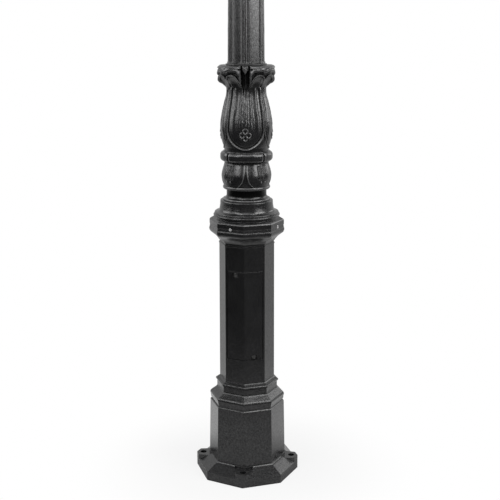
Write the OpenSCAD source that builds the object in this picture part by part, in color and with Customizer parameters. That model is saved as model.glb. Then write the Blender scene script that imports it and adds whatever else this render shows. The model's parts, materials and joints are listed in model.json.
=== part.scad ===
// Garden lamp post: an octagonal bolt-down base, a column with an access door, a leaf-carved vase,
// a tapered fluted shaft and a spigot for a lantern, with the fittings that it holds inside.
// Millimetres, +Z up. The origin is on the ground, on the post's axis, and the door faces -Y.
// Radii of octagonal parts are measured to their corners, and a corner faces -Y.

/* [Base] */
// Flange radius
flange_r = 132; // [126:1:150]
// Height of the flange's upright rim
flange_rim_h = 22; // [16:1:28]
// Height that the flange's top rises from its rim to the pedestal
flange_rise = 16; // [8:1:24]
// Pedestal radius at its foot
pedestal_foot_r = 98; // [94:1:104]
// Pedestal radius at its top
pedestal_top_r = 95; // [91:1:98]
// Height of the base casting
base_h = 188; // [150:1:260]
// Wall of the base casting
base_wall = 8; // [5:0.5:12]
// Thickness of the base casting's top plate
base_plate_t = 12; // [8:1:20]
// Height of the bolt pads above the ground
pad_h = 35; // [30:1:38]
// Width of a bolt pad beside the pedestal
pad_in_w = 44; // [36:1:52]
// Width of a bolt pad at the rim
pad_out_w = 33; // [26:1:36]
// Circle that the anchor holes lie on
anchor_pcd = 230; // [220:1:238]
// Anchor hole diameter
anchor_hole_d = 16; // [12:1:20]

/* [Column] */
// Height of the plinth moulding at the column casting's foot
plinth_h = 62; // [56:1:90]
// Radius of the plinth moulding at its widest
plinth_r = 95.4; // [88:0.2:98]
// Radius of the plinth moulding's bead
bead_r = 80.5; // [76:0.5:84]
// Radius of the plinth moulding's waist
waist_r = 77; // [72:0.5:78]
// Column radius at its foot
column_foot_r = 69.5; // [67:0.5:71]
// Column radius at its top
column_top_r = 68.5; // [66:0.5:69]
// Height of the column between its mouldings
column_h = 358; // [340:1:500]
// Wall of the column casting
column_wall = 8; // [7:0.5:10]
// Height of the capital's lower half, which belongs to the column casting
head_h = 40.6; // [36:0.2:60]
// Radius of the capital
capital_r = 93.5; // [88:0.5:100]

/* [Access door] */
// Door height
door_h = 226; // [200:1:240]
// Door width, straight across
door_w = 88.5; // [84:0.5:91]
// Height of the door's lower edge above the column's foot
door_rise = 64.5; // [56:0.5:80]
// Door thickness
door_t = 3.5; // [2.5:0.5:4]
// Gap round the door
door_gap = 0.6; // [0.4:0.1:1.2]
// Gasket thickness
gasket_t = 1.1; // [0.8:0.1:1.6]
// Width of the opening behind the door
opening_w = 70; // [60:1:74]
// Width of the frame above and below the opening
frame_end = 20; // [18:1:26]
// Sideways distance of the door screws from the door's middle
door_screw_x = 22; // [18:0.5:24]
// Distance of the upper door screw below the door's upper edge
upper_screw_inset = 9; // [8:0.5:11]
// Distance of the lower door screw above the door's lower edge
lower_screw_inset = 6.5; // [6:0.5:11]
// Door screw shank diameter
door_screw_d = 6; // [5:1:8]

/* [Capital and drum] */
// Height of the capital's upper octagonal band
upper_band_h = 15.4; // [12:0.2:24]
// Radius of the round collar
collar_r = 82; // [76:0.5:84]
// Height of the round collar and its cove
collar_h = 19; // [16:0.5:30]
// Radius of the drum at its top
drum_r = 65.2; // [60:0.1:68]
// Height of the drum
drum_h = 28; // [20:0.5:50]
// Set screw diameter
set_screw_d = 8; // [6:1:10]
// Length of the set screws
set_screw_len = 22; // [18:1:26]

/* [Vase] */
// Height of the vase's turned foot, from the drum to the lotus cup
foot_h = 35; // [34:0.5:50]
// Height of the lotus cup
lotus_h = 56; // [45:1:80]
// Height of the segmented band
band_h = 30; // [22:1:40]
// Height of the tulip, up to its rolled lip's top
tulip_h = 204; // [190:1:260]
// Radius of the vase's neck above the drum
neck_r = 49; // [46:0.5:52]
// Radius of the bead ring under the lotus cup
vase_bead_r = 58; // [54:0.5:62]
// Radius of the lotus cup at its widest
lotus_r = 60; // [57:0.1:64]
// Radius of the segmented band
band_r = 64; // [60:0.5:66]
// Radius of the tulip at its widest
tulip_r = 64; // [60:0.1:66]
// Radius of the tulip's upper neck
tulip_neck_r = 49.4; // [47:0.1:51]
// Radius of the leaf shells and the rolled lip
lip_r = 71; // [66:0.1:74]
// Bore of the vase casting
vase_bore_r = 38; // [35:0.5:40]
// Turn of the carved vase and shaft against the octagon below, in degrees
carving_turn = 2.8; // [0:0.2:6]

/* [Shaft] */
// Fluted shaft length above the vase
shaft_len = 1114; // [700:1:2400]
// Radius over the ribs at the shaft's foot
shaft_foot_r = 46.8; // [45:0.1:47]
// Radius over the ribs at the shaft's top
shaft_top_r = 34; // [33:0.1:40]
// Depth of the flutes at the shaft's foot
flute_depth = 2.4; // [1:0.1:3]
// Number of ribs
rib_count = 6; // [5:1:8]
// Depth of the shaft's foot in the vase
shaft_socket = 24; // [16:1:28]
// Shaft bore radius at its foot
shaft_bore_foot_r = 39; // [37:0.1:40]
// Shaft bore radius at its top
shaft_bore_top_r = 28; // [27:0.1:28.5]

/* [Centre tube] */
// Outside diameter of the centre tube
tube_d = 60.3; // [57:0.1:61]
// Wall of the centre tube
tube_wall = 4; // [3:0.5:6]
// Height of the centre tube above the vase
tube_above = 220; // [120:1:500]
// Radius of the tube's foot plate
foot_plate_r = 50; // [49:0.5:51]
// Thickness of the tube's foot plate
foot_plate_t = 8; // [6:0.5:10]
// Radius of the circle that the foot plate's bolts lie on
foot_bolt_r = 40.5; // [40:0.5:41.5]

/* [Shaft head] */
// Lantern spigot diameter
spigot_d = 60; // [56:0.5:60]
// Lantern spigot length
spigot_len = 72; // [50:1:120]
// Cable bore radius of the head
head_bore_r = 24; // [18:0.5:25]
// Length of the plug that goes into the shaft
plug_len = 60; // [50:1:100]

/* [Fuse unit] */
// Width of the gear tray
tray_w = 60; // [58:1:62]
// Thickness of the gear tray
tray_t = 2.5; // [1.5:0.5:4]
// Width of the cut-out body
cutout_w = 56; // [54:1:58]
// Depth of the cut-out body
cutout_d = 29.5; // [29:0.5:31]
// Height of the cut-out body
cutout_h = 116; // [112:1:122]
// Fuse link diameter
fuse_d = 10.3; // [9.5:0.1:11]
// Fuse link length
fuse_len = 38; // [36:0.5:40]
// Cable gland body radius
gland_r = 10; // [8:0.5:11]

/* [Hidden] */

// Clearances: between fixed parts, of a turning screw, and of a bolt in its plain hole
fit_gap = 0.3;
turn_gap = 0.08;
bolt_gap = 0.5;
// How far a cut runs past the face that it opens
cut_over = 1;
// Facets of true round parts
round_fn = 64;

// An octagon's corner angle, and what a wall measures at a corner
half_face = 22.5;
function at_corner(t) = t / cos(half_face);

// Heights of the seams between the castings
column_z = base_h + plinth_h;
head_z = column_z + column_h;
seam_z = head_z + head_h;
collar_z = seam_z + upper_band_h;
drum_z = collar_z + collar_h;
vase_z = drum_z + drum_h;
lotus_z = vase_z + foot_h;
band_z = lotus_z + lotus_h;
tulip_z = band_z + band_h;
lip_z = tulip_z + tulip_h;
shaft_top_z = lip_z + shaft_len;
socket_z = lip_z - shaft_socket;

// Column radius at a height, less an offset square to the faces
function column_r(z, inset = 0) =
    column_foot_r + (column_top_r - column_foot_r) * (z - column_z) / column_h - at_corner(inset);

// Door and opening
door_z = column_z + door_rise;
door_top = door_z + door_h;
opening_z = door_z + frame_end;
opening_top = door_top - frame_end;
door_seat = door_t + gasket_t;
upper_screw = [-door_screw_x, door_top - upper_screw_inset];
lower_screw = [door_screw_x, door_z + lower_screw_inset];
door_screw_head_r = door_screw_d / 2 + 2;
door_screw_head_h = 4;
door_screw_recess = 0.8;
door_screw_len = 20;
screw_seat_y = door_screw_recess + door_screw_head_h;
door_boss_r = door_screw_d / 2 + 4.5;
door_boss_back = screw_seat_y + 2.8;
retainer_t = 0.8;
retainer_r = door_screw_d / 2 + 1.6;
frame_boss_r = door_boss_r + 2;
frame_boss_back = 20;

// Outer face of the column, in Y, where a door screw stands
function screw_face_y(at) = -(column_r(at[1]) - abs(at[0]) * tan(half_face));

// Points along an arc round c
function arc(c, r, from, to, steps) =
    [for (i = [0 : steps]) let (a = from + (to - from) * i / steps) c + r * [cos(a), sin(a)]];

// An octagonal moulding: its outline, radius first and height second, turned round the post's axis
module octagonal(outline) rotate_extrude($fn = 8) polygon(outline);

// A round turned piece
module turned(outline) rotate_extrude($fn = round_fn) polygon(outline);

// A cylinder that points along -Y from a place on the XZ plane at depth y
module forward(x, y, z) translate([x, y, z]) rotate([90, 0, 0]) children();

// A hexagon socket screw that stands on its seat at z = 0, head up and shank down
module socket_screw(d, length, head_r, head_h) {
    difference() {
        union() {
            cylinder(r = head_r, h = head_h, $fn = 48);
            translate([0, 0, -length]) cylinder(d = d, h = length, $fn = 48);
        }
        translate([0, 0, head_h * 0.4]) cylinder(r = d * 0.42, h = head_h, $fn = 6);
    }
}

// A hexagon-headed bolt, seated at z = 0 with its shank up and its head down
module hex_bolt(d, length) {
    cylinder(d = d, h = length, $fn = 48);
    translate([0, 0, -d * 0.64]) cylinder(r = d * 0.92, h = d * 0.64, $fn = 6);
}

// A round plate with a hole
module ring(outer_r, inner_r, h) {
    difference() {
        cylinder(r = outer_r, h = h, $fn = round_fn);
        translate([0, 0, -cut_over]) cylinder(r = inner_r, h = h + 2 * cut_over, $fn = round_fn);
    }
}

// A plain box given by its low corner and its size
module block(at, size) translate(at) cube(size);

// Four copies round the axis, the first turned by start
module four_round(start = 0) for (i = [0 : 3]) rotate([0, 0, start + 90 * i]) children();

// Base

pad_slope = (pad_in_w - pad_out_w) / 2 / (flange_r - pedestal_foot_r);
pedestal_chamfer = 2;
foot_cove = 6;
anchor_r = anchor_pcd / 2;
plinth_bolt_d = 10;
plinth_bolt_r = 72;
plinth_bolt_len = 32;
plinth_washer_t = 2;
cable_hole_r = 45;

// Outline of a bolt pad seen from above, pointing along +X from the pedestal to past the rim
module pad_outline(from_x) {
    half = pad_in_w / 2 + (pedestal_foot_r - from_x) * pad_slope;
    out = pad_out_w / 2 - pad_slope;
    polygon([[from_x, -half], [flange_r + 1, -out], [flange_r + 1, out], [from_x, half]]);
}

module base_casting() {
    inner_foot = pedestal_foot_r - at_corner(base_wall);
    inner_top = pedestal_top_r - at_corner(base_wall);
    rise_z = flange_rim_h + flange_rise;
    color("#1b1b1c") difference() {
        union() {
            octagonal(concat(
                [[0, 0], [flange_r, 0], [flange_r, flange_rim_h], [pedestal_foot_r + foot_cove, rise_z]],
                arc([pedestal_foot_r + foot_cove, rise_z + foot_cove], foot_cove, 270, 180, 3),
                [[pedestal_top_r, base_h - pedestal_chamfer], [pedestal_top_r - pedestal_chamfer, base_h],
                 [0, base_h]]));
            intersection() {
                four_round() linear_extrude(pad_h) pad_outline(inner_foot);
                cylinder(r = flange_r, h = pad_h, $fn = 8);
            }
        }
        // The hollow pedestal, open from below
        octagonal([[0, -cut_over], [inner_foot, -cut_over], [inner_foot, flange_rim_h],
                   [inner_top, base_h - base_plate_t], [0, base_h - base_plate_t]]);
        // Pads cut level where the flange rises above them
        four_round() translate([0, 0, pad_h]) linear_extrude(rise_z) difference() {
            pad_outline(pedestal_foot_r - pad_in_w / 2);
            circle(r = pedestal_foot_r + 1, $fn = 8);
        }
        four_round() translate([anchor_r, 0, -cut_over])
            cylinder(d = anchor_hole_d, h = pad_h + 2 * cut_over, $fn = 48);
        translate([0, 0, base_h - base_plate_t - cut_over])
            cylinder(r = cable_hole_r, h = base_plate_t + 2 * cut_over, $fn = round_fn);
        four_round() translate([plinth_bolt_r, 0, base_h - base_plate_t - cut_over])
            cylinder(r = plinth_bolt_d / 2 + bolt_gap, h = base_plate_t + 2 * cut_over, $fn = 48);
    }
}

module plinth_bolts() {
    color("#b9bcc0") four_round() translate([plinth_bolt_r, 0, base_h - base_plate_t - plinth_washer_t])
        hex_bolt(plinth_bolt_d, plinth_bolt_len);
}

module plinth_washers() {
    color("#c4c7ca") four_round() translate([plinth_bolt_r, 0, base_h - base_plate_t - plinth_washer_t])
        ring(plinth_bolt_d, plinth_bolt_d / 2 + fit_gap, plinth_washer_t);
}

// Column

groove_h = 3;
groove_depth = 3.5;
bead_size = 3.5;
head_ledge_h = 16;
ring_r = 77.7;
ring_inner_r = 58;
tray_boss_r = 7;
tray_screw_d = 5;
tray_screw_z = [opening_z + 10, opening_top - 14];

// Outer outline of the plinth moulding, from its foot to the column: a groove, an upright belly, a wave
// in to the waist, and a bead under a fine step
function plinth_outline() =
    let (belly_z = base_h + plinth_h * 0.26, waist_z = base_h + plinth_h * 0.61,
         bead_z = column_z - bead_size * 2, step_r = bead_r - bead_size - 1)
    concat(
        [[plinth_r - groove_depth, base_h], [plinth_r - groove_depth, base_h + groove_h],
         [plinth_r - 2, base_h + groove_h + 0.8], [plinth_r - 1.2, base_h + plinth_h * 0.17]],
        arc([plinth_r - 9, belly_z], 9, 0, 55, 6),
        arc([waist_r + 7, waist_z], 7, 235, 180, 5),
        [[waist_r, bead_z - bead_size - 1]],
        arc([bead_r - bead_size, bead_z], bead_size, -65, 75, 6),
        [[step_r, bead_z + bead_size + 0.3], [step_r, bead_z + bead_size + 1.6],
         [column_foot_r + 2.5, column_z], [column_foot_r, column_z + 2]]);

// Outer outline of the capital's lower half, from the column to the seam: a bead, a wave out and a belly
function head_outline() = concat(
    [[column_top_r, head_z - 8], [column_top_r + 1, head_z - 7], [column_top_r + 1, head_z - 4],
     [column_top_r - 0.6, head_z - 3], [column_top_r - 0.6, head_z]],
    arc([column_top_r + 39, head_z - 21], 44, 150, 128, 4),
    arc([capital_r - 12, head_z + head_h * 0.72], 12, -60, 25, 8),
    [[capital_r - 2, seam_z]]);

// The hollow of the column casting, open at both ends
module column_hollow() {
    octagonal([[0, base_h - cut_over], [column_r(column_z, column_wall), base_h - cut_over],
               [column_r(column_z, column_wall), column_z], [column_r(head_z, column_wall), head_z],
               [column_r(head_z, column_wall), seam_z - head_ledge_h],
               [ring_r + fit_gap, seam_z - head_ledge_h], [ring_r + fit_gap, seam_z + cut_over],
               [0, seam_z + cut_over]]);
}

// The door's outline seen from the front, carried through the column's front half
module door_plan()
    block([-door_w / 2, -2 * column_foot_r, door_z], [door_w, 2 * column_foot_r, door_h]);

// What the door, its gasket and its screws take out of the column
module door_cut() {
    intersection() {
        difference() {
            block([-door_w, -2 * column_foot_r, door_z - door_gap],
                  [2 * door_w, 2 * column_foot_r, door_h + 2 * door_gap]);
            octagonal([[0, column_z], [column_r(column_z, door_seat), column_z],
                       [column_r(head_z, door_seat), head_z], [0, head_z]]);
        }
        block([-door_w / 2 - door_gap, -2 * column_foot_r, column_z],
              [door_w + 2 * door_gap, 2 * column_foot_r, column_h]);
    }
    block([-opening_w / 2, -2 * column_foot_r, opening_z],
          [opening_w, 1.5 * column_foot_r, opening_top - opening_z]);
}

module column_casting() {
    color("#1b1b1c") difference() {
        union() {
            difference() {
                octagonal(concat([[0, base_h]], plinth_outline(), head_outline(), [[0, seam_z]]));
                column_hollow();
            }
            // Bosses that the door screws thread into
            for (at = [upper_screw, lower_screw])
                forward(at[0], screw_face_y(at) + frame_boss_back, at[1])
                    cylinder(r = frame_boss_r, h = frame_boss_back - door_seat - 0.6, $fn = 48);
            // Bosses that carry the gear tray, and the earth stud's boss
            for (z = tray_screw_z) forward(0, tray_wall_y, z)
                cylinder(r = tray_boss_r, h = tray_wall_y - tray_y - tray_t, $fn = 48);
            forward(earth_x, earth_wall_y, earth_z)
                cylinder(r = earth_boss_r, h = earth_wall_y - earth_y, $fn = 48);
        }
        door_cut();
        for (at = [upper_screw, lower_screw]) {
            face_y = screw_face_y(at);
            forward(at[0], face_y + frame_boss_back + cut_over, at[1])
                cylinder(r = door_screw_d / 2 + turn_gap, h = frame_boss_back, $fn = 48);
            forward(at[0], face_y + door_boss_back + fit_gap, at[1])
                cylinder(r = door_boss_r + bolt_gap, h = door_boss_back, $fn = 48);
            forward(at[0], face_y + door_boss_back + 2 * retainer_t, at[1])
                cylinder(r = retainer_r + bolt_gap, h = door_boss_back, $fn = 48);
        }
        for (z = tray_screw_z) forward(0, tray_y + tray_t + 12, z)
            cylinder(r = tray_screw_d / 2 + turn_gap, h = 13, $fn = 48);
        forward(earth_x, earth_y + 10, earth_z) cylinder(r = earth_d / 2 + turn_gap, h = 11, $fn = 48);
        // Tapped holes for the bolts from below, and half holes for the set screws
        four_round() translate([plinth_bolt_r, 0, base_h - cut_over])
            cylinder(r = plinth_bolt_d / 2 + turn_gap, h = plinth_bolt_len - base_plate_t + 2 * cut_over,
                     $fn = 48);
        set_screw_holes(set_screw_d / 2 + fit_gap);
    }
}

// Capital

set_screw_face = capital_r * cos(half_face);
ring_z = seam_z - head_ledge_h;
ring_top = seam_z + head_ledge_h;
plate_z = ring_top + fit_gap;
hub_t = 14;
drum_wall = 8;
locating_h = 6;

// Radial holes on the seam, one in every second face
module set_screw_holes(r) {
    four_round(-half_face) translate([ring_inner_r * cos(half_face) - cut_over, 0, seam_z])
        rotate([0, 90, 0]) cylinder(r = r, h = capital_r, $fn = 48);
}

module capital_set_screws() {
    color("#c9cbce") four_round(-half_face)
        translate([set_screw_face - set_screw_len - 0.7, 0, seam_z]) rotate([0, 90, 0])
            difference() {
                cylinder(d = set_screw_d, h = set_screw_len, $fn = 48);
                translate([0, 0, set_screw_len - set_screw_d / 2])
                    cylinder(r = set_screw_d * 0.29, h = set_screw_d, $fn = 6);
            }
}

module joint_ring() {
    color("#8d9093") difference() {
        translate([0, 0, ring_z]) cylinder(r = ring_r, h = ring_top - ring_z, $fn = 8);
        translate([0, 0, ring_z - cut_over])
            cylinder(r = ring_inner_r, h = ring_top - ring_z + 2 * cut_over, $fn = 8);
        set_screw_holes(set_screw_d / 2 + turn_gap);
    }
}

module capital_casting() {
    color("#1b1b1c") difference() {
        union() {
            octagonal([[0, seam_z], [capital_r - 1.8, seam_z], [capital_r - 1, seam_z + 1.5],
                       [capital_r - 1, collar_z - 4], [capital_r - 2.5, collar_z - 1.5],
                       [collar_r - 1, collar_z + 4.5], [0, collar_z + 4.5]]);
            turned(concat(
                [[0, seam_z + 2], [collar_r - 3, seam_z + 2], [collar_r - 3, collar_z + 7.5]],
                arc([collar_r - 2.5, collar_z + 10], 2.5, -70, 70, 5),
                [[collar_r - 3.2, collar_z + 13]],
                arc([collar_r - 5, collar_z + 15.5], 2.2, -40, 80, 5),
                arc([drum_r + 10, drum_z + 7.5], 8.5, 245, 185, 5),
                [[drum_r, vase_z - 12]],
                arc([drum_r - 3, vase_z - 2.5], 2.5, 0, 80, 4),
                [[drum_r - 5.5, vase_z], [0, vase_z]]));
        }
        // Seat of the joint ring, then the hollow above the hub
        translate([0, 0, seam_z - cut_over])
            cylinder(r = ring_r + fit_gap, h = plate_z - seam_z + cut_over, $fn = 8);
        translate([0, 0, plate_z - cut_over])
            cylinder(r = tube_d / 2 + fit_gap, h = hub_t + 2 * cut_over, $fn = round_fn);
        translate([0, 0, plate_z + hub_t])
            cylinder(r = drum_r - drum_wall, h = vase_z - locating_h - plate_z - hub_t, $fn = round_fn);
        translate([0, 0, vase_z - locating_h - cut_over])
            cylinder(r = vase_bore_r - 2, h = locating_h + 2 * cut_over, $fn = round_fn);
        four_round(45) translate([foot_bolt_r, 0, plate_z - cut_over])
            cylinder(r = foot_bolt_d / 2 + turn_gap, h = foot_bolt_len - foot_plate_t + 2 * cut_over,
                     $fn = 48);
        set_screw_holes(set_screw_d / 2 + fit_gap);
    }
}

// Centre tube

foot_bolt_d = 8;
foot_bolt_len = 18;
tube_top = lip_z + tube_above;
foot_plate_z = plate_z - foot_plate_t;

module centre_tube() {
    tube_h = tube_top - foot_plate_z;
    color("#a4a8ab") difference() {
        translate([0, 0, foot_plate_z]) cylinder(d = tube_d, h = tube_h, $fn = round_fn);
        translate([0, 0, foot_plate_z - cut_over])
            cylinder(d = tube_d - 2 * tube_wall, h = tube_h + 2 * cut_over, $fn = round_fn);
    }
}

// Round plate fixed to the tube's foot
module tube_foot_plate() {
    color("#a4a8ab") difference() {
        translate([0, 0, foot_plate_z]) cylinder(r = foot_plate_r, h = foot_plate_t, $fn = round_fn);
        translate([0, 0, foot_plate_z - cut_over])
            cylinder(r = tube_d / 2 + turn_gap, h = foot_plate_t + 2 * cut_over, $fn = round_fn);
        four_round(45) translate([foot_bolt_r, 0, foot_plate_z - cut_over])
            cylinder(r = foot_bolt_d / 2 + bolt_gap, h = foot_plate_t + 2 * cut_over, $fn = 48);
    }
}

module foot_plate_bolts() {
    color("#b9bcc0") four_round(45) translate([foot_bolt_r, 0, foot_plate_z])
        hex_bolt(foot_bolt_d, foot_bolt_len);
}

// Vase

// Angles of the carved surface's columns inside one eighth of the vase, closer at a petal's rim
rim_angles = [0, 6, 9, 12, 16, 22, 29, 35, 39, 41.5, 43.5];
petal_columns = concat(
    rim_angles, [45], [for (i = [1 : len(rim_angles) - 1]) 90 - rim_angles[len(rim_angles) - i]]);
vase_columns = [for (petal = [0 : 3]) for (a = petal_columns) 90 * petal + a];

// Angle from the nearest petal's middle, 0 to 45
function fold(a) = let (m = a % 90) m > 45 ? 90 - m : m;

// 0 below from, 1 above to, and smooth between
function ease(from, to, x) = let (t = max(0, min(1, (x - from) / (to - from)))) t * t * (3 - 2 * t);

// A rounded ridge of width w at distance d from its line
function ridge(d, w) = exp(-d * d / (w * w));

// Smooth curve through points of height and radius
function between_points(p, i, t) =
    let (a = p[max(i - 1, 0)][1], b = p[i][1], c = p[i + 1][1], d = p[min(i + 2, len(p) - 1)][1])
    b + 0.5 * t * (c - a + t * (2 * a - 5 * b + 4 * c - d + t * (3 * (b - c) + d - a)));
function smooth_curve(p, x, i = 0) =
    x <= p[0][0] ? p[0][1]
    : x >= p[len(p) - 1][0] ? p[len(p) - 1][1]
    : x <= p[i + 1][0] ? between_points(p, i, (x - p[i][0]) / (p[i + 1][0] - p[i][0]))
    : smooth_curve(p, x, i + 1);

// Lotus cup: u is 0 at its foot and 1 at its top, and its petals lie on the diagonals
lotus_curve = [[0, lotus_r - 4.4], [0.12, lotus_r - 2.7], [0.22, lotus_r - 1.2], [0.38, lotus_r],
               [0.5, lotus_r], [0.65, lotus_r - 1.6], [0.8, lotus_r - 3.9], [1, lotus_r - 7]];
function lotus_edge(u) = 20 - 18 * ease(0, 0.75, u);
function lotus_radius(a, u) =
    let (f = fold(a), edge = lotus_edge(u))
    smooth_curve(lotus_curve, u) - 1.6 * (1 - ease(edge - 4, edge, f)) + 0.8 * ridge(f - edge - 1, 1.6);

// Tulip: u is 0 at its foot and 1 at the lip's top, and its petals' middles lie on the tulip curve
tulip_curve = [[0, tulip_r - 10.5], [0.04, tulip_r - 9.2], [0.065, tulip_r - 7], [0.09, tulip_r - 5],
               [0.137, tulip_r - 2.2], [0.18, tulip_r - 0.8], [0.23, tulip_r - 0.1], [0.27, tulip_r],
               [0.35, tulip_r - 1.2], [0.4, tulip_r - 2.7], [0.45, tulip_r - 4.6], [0.5, tulip_r - 6.7],
               [0.55, tulip_r - 9.1], [0.6, tulip_neck_r + 3.1], [0.65, tulip_neck_r + 1],
               [0.7, tulip_neck_r], [0.76, tulip_neck_r]];
recess_curve = [[0.7, tulip_neck_r], [0.78, tulip_neck_r], [0.84, tulip_neck_r + 1.5],
                [0.92, tulip_neck_r + 4], [0.94, lip_r - 10], [0.965, lip_r - 4], [0.99, lip_r - 6],
                [1, lip_r - 9]];
// The rolled lip, and the cove under it
lip_curve = [[0.86, lip_r - 4.5], [0.905, lip_r - 4.5], [0.92, lip_r - 2.5], [0.94, lip_r],
             [0.965, lip_r - 0.8], [0.98, lip_r - 2.5], [0.993, lip_r - 5], [1, lip_r - 9]];
// Rim of a petal's two shells, by angle from the petal's middle: its height as u, and its radius
shell_rim = [[8, 0.78], [12, 0.805], [16, 0.83], [22, 0.848], [29, 0.86], [36, 0.858], [41, 0.84],
             [45, 0.82]];
shell_reach = [[8, lip_r - 13], [11, lip_r - 5], [14, lip_r - 0.8], [18, lip_r - 0.2], [38, lip_r],
               [42, lip_r - 2.5], [45, lip_r - 6]];
shell_foot = 0.715;
// Half width of a petal, in degrees
function petal_edge(u) = u < 0.015 ? 0 : 42 * sqrt(1 - pow(1 - min(1, (u - 0.015) / 0.17), 2));
function tulip_body(f, u) =
    let (edge = petal_edge(u), fade = ease(0.02, 0.1, u) * (1 - ease(0.72, 0.78, u)))
    smooth_curve(tulip_curve, u) + 0.8 * ease(edge - 3, edge, f) * fade + 1.6 * ridge(f - 28, 7) * fade
        + 1 * ridge(f - edge, 2.2) * fade;
// How far a shell has opened at u: a hollow flare up to its rim, then back into the cove
function tulip_shell(f, u) =
    let (rim = smooth_curve(shell_rim, f), reach = smooth_curve(shell_reach, f),
         t = max(0, min(1, (u - shell_foot) / (rim - shell_foot))),
         flare = tulip_neck_r + (reach - tulip_neck_r) * pow(t, 2.5),
         back = ease(rim, rim + 0.012, u))
    flare * (1 - back) + smooth_curve(lip_curve, u) * back - 3 * ridge(f - 45, 4) * (1 - ease(0.88, 0.93, u));
function tulip_radius(a, u) =
    let (f = fold(a), open = ease(7.5, 11.5, f), top = ease(0.72, 0.76, u),
         crown = tulip_shell(f, u) * open + smooth_curve(recess_curve, u) * (1 - open))
    tulip_body(f, u) * (1 - top) + crown * top;

// A closed carved drum, from rows of points that each run once round the axis
module carved(rows) {
    n = len(rows[0]);
    m = len(rows);
    points = [for (row = rows) for (p = row) p];
    sides = [for (j = [0 : m - 2]) for (i = [0 : n - 1]) for (half = [0, 1])
        half == 0 ? [j * n + i, (j + 1) * n + i, j * n + (i + 1) % n]
                  : [j * n + (i + 1) % n, (j + 1) * n + i, (j + 1) * n + (i + 1) % n]];
    foot = [for (i = [0 : n - 1]) i];
    top = [for (i = [n - 1 : -1 : 0]) (m - 1) * n + i];
    polyhedron(points, concat(sides, [foot, top]));
}

// Rows of the carved surfaces; the first and last rows of the cup and the tulip's first are inside their
// turned neighbours
lotus_rows = [-0.055, 0, 0.1, 0.2, 0.32, 0.45, 0.58, 0.7, 0.82, 0.92, 1.01];
tulip_rows = [-0.004, 0.02, 0.04, 0.06, 0.08, 0.1, 0.125, 0.15, 0.18, 0.22, 0.28, 0.35, 0.42, 0.48, 0.54,
              0.6, 0.65, 0.7, 0.735, 0.765, 0.79, 0.81, 0.83, 0.848, 0.86, 0.872, 0.9, 0.92, 0.94, 0.96,
              0.98, 0.993, 1];

module lotus() {
    carved([for (u = lotus_rows) [for (a = vase_columns)
        let (r = lotus_radius(a, u)) [r * cos(a - 90), r * sin(a - 90), lotus_z + u * lotus_h]]]);
}

module tulip() {
    carved([for (u = tulip_rows) [for (a = vase_columns)
        let (r = tulip_radius(a, u)) [r * cos(a - 90), r * sin(a - 90), tulip_z + u * tulip_h]]]);
}

// The turned foot: a foot ring, the neck and the bead
foot_ring_h = 4;
foot_flare = 9;
vase_bead = 5;
function vase_foot_outline() = concat(
    [[0, vase_z], [neck_r + foot_flare, vase_z], [neck_r + foot_flare, vase_z + foot_ring_h]],
    arc([neck_r + foot_flare, vase_z + foot_ring_h + foot_flare], foot_flare, 265, 180, 6),
    [[neck_r, lotus_z - 10]],
    arc([vase_bead_r - vase_bead, lotus_z - 3], vase_bead, -110, 90, 8),
    [[0, lotus_z + 2]]);

// The segmented band: a step, a fat roll and an undercut, with a notch between its segments
notch_w = 3;
notch_depth = 5;
band_roll = 9;
function band_outline() = concat(
    [[0, band_z], [lotus_r - 5.8, band_z], [lotus_r - 5.8, band_z + 3]],
    arc([band_r - band_roll, band_z + band_h * 0.45], band_roll, -75, 0, 5),
    arc([band_r - band_roll, band_z + band_h * 0.65], band_roll, 0, 75, 5),
    [[tulip_r - 8, tulip_z - 1], [tulip_r - 9.4, tulip_z], [0, tulip_z]]);

// Length of the close fit on the centre tube, at each end of the bore
tube_land = 8;

module vase_casting() {
    color("#1b1b1c") difference() {
        union() {
            turned(vase_foot_outline());
            rotate([0, 0, carving_turn]) lotus();
            difference() {
                turned(band_outline());
                four_round(45 + carving_turn) block([band_r - notch_depth, -notch_w / 2, band_z + 3],
                                                    [notch_depth + cut_over, notch_w, band_h - 5]);
            }
            rotate([0, 0, carving_turn]) tulip();
            translate([0, 0, vase_z - locating_h + fit_gap])
                cylinder(r = vase_bore_r - 2 - fit_gap, h = locating_h, $fn = round_fn);
        }
        // Bore, close on the tube at both ends, and the socket for the shaft's foot
        translate([0, 0, vase_z - locating_h])
            cylinder(r = tube_d / 2 + fit_gap, h = tulip_h + foot_h + lotus_h + band_h, $fn = round_fn);
        translate([0, 0, vase_z + tube_land])
            cylinder(r = vase_bore_r, h = socket_z - vase_z - 2 * tube_land, $fn = round_fn);
        translate([0, 0, socket_z])
            cylinder(r = shaft_foot_r + fit_gap, h = shaft_socket + cut_over, $fn = round_fn);
    }
}

// Shaft

rib_half = 13;
shaft_ring_r = shaft_foot_r + 2.5;
shaft_ring_h = 7;
// The flutes start inside the foot ring
flute_start = 2;

// One rib and the flute beside it, as angle from the rib's middle and depth below the ribs' radius
function flute_at(t) = flute_depth * (0.55 + 0.45 * sin(180 * t));
rib_profile = concat(
    [[-rib_half, flute_depth * 0.5], [-11.5, 0.7], [-7.5, 0.7], [-6.2, 1.3], [-4, 0.7], [0, 0],
     [4, 0.7], [6.2, 1.3], [7.5, 0.7], [11.5, 0.7], [rib_half, flute_depth * 0.5]],
    [for (t = [0.12, 0.3, 0.5, 0.7, 0.88]) [rib_half + t * (360 / rib_count - 2 * rib_half), flute_at(t)]]);
shaft_outline = [for (k = [0 : rib_count - 1]) for (p = rib_profile)
    let (a = 360 / rib_count * k + p[0] - 90 + carving_turn, r = shaft_foot_r - p[1])
    [r * cos(a), r * sin(a)]];

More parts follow.
